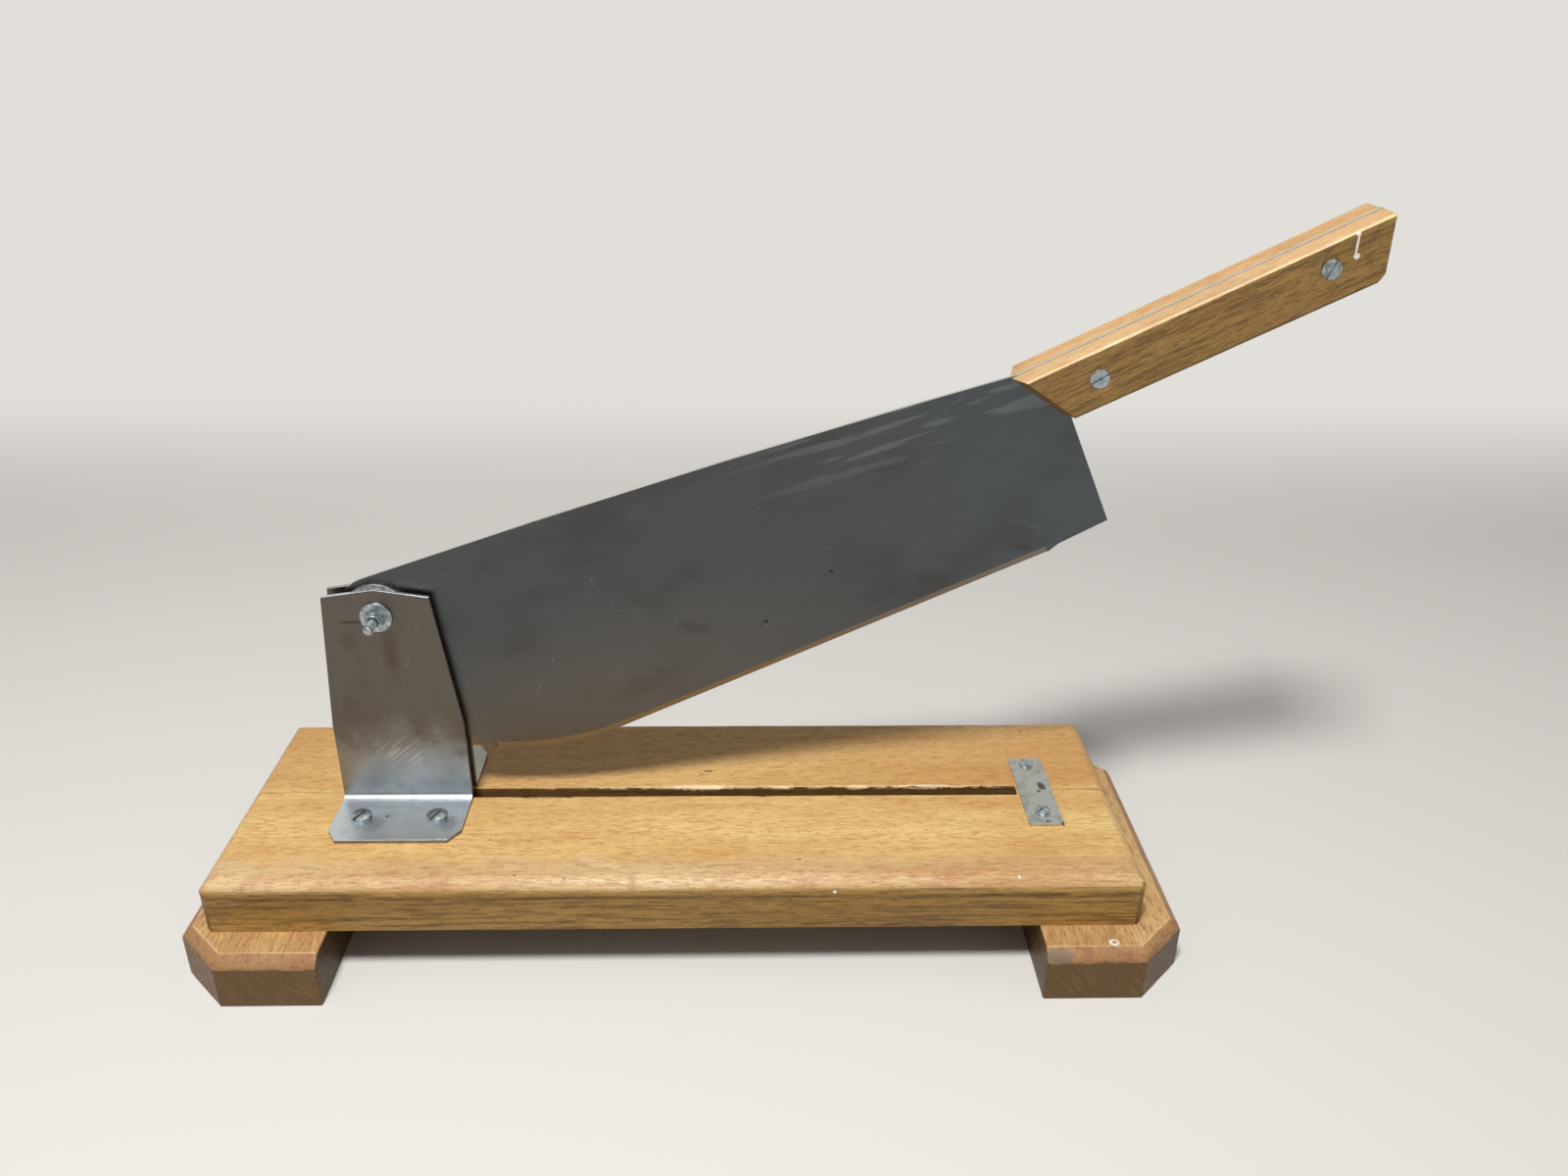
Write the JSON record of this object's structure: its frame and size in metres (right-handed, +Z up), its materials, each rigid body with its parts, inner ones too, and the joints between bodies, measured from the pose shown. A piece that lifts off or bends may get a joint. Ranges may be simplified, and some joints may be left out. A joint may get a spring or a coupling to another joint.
{
  "type": "bread slicer",
  "caption": "Hand-lever bread slicer: a long blade hinged between two angle brackets drops into a slot between the planks of a small footed wooden board.",
  "frame": {"origin": "middle of the sole of the left foot, the one under the brackets, on the surface the slicer stands on", "axes": "+X along the board towards the handle, +Y to the back, +Z up"},
  "size_m": [0.5298, 0.174, 0.346],
  "materials": {
    "board_wood": "bare beech, worn smooth",
    "foot_wood": "oiled reddish wood with dark end grain",
    "handle_wood": "oiled beech",
    "angle_aluminium": "brushed, scratched",
    "blade_steel": "dull ground steel",
    "spacer_steel": "plain",
    "strap_steel": "worn, stained",
    "zinc_steel": "zinc plated"
  },
  "bodies": {
    "base": {"front_plank": "board_wood", "rear_plank": "board_wood", "left_foot": "foot_wood", "right_foot": "foot_wood", "left_foot_screws": "zinc_steel", "right_foot_screws": "zinc_steel", "front_bracket": "angle_aluminium", "rear_bracket": "angle_aluminium", "front_bracket_screws": "zinc_steel", "rear_bracket_screws": "zinc_steel", "pivot_bolt": "zinc_steel", "pivot_nut": "zinc_steel", "front_washer": "zinc_steel", "rear_washer": "zinc_steel", "front_spacer": "spacer_steel", "rear_spacer": "spacer_steel", "strap_plate": "strap_steel", "strap_screws": "zinc_steel"},
    "blade": {"blade": "blade_steel", "front_scale": "handle_wood", "rear_scale": "handle_wood", "handle_screws": "zinc_steel", "handle_sleeves": "zinc_steel"}
  },
  "joints": [
    {"name": "blade_hinge", "type": "hinge", "parent": "base", "child": "blade", "pos_m": [0.0566, 0.0042, 0.158], "axis": [0, -1, 0], "range_deg": [-25.1, 70]}
  ]
}
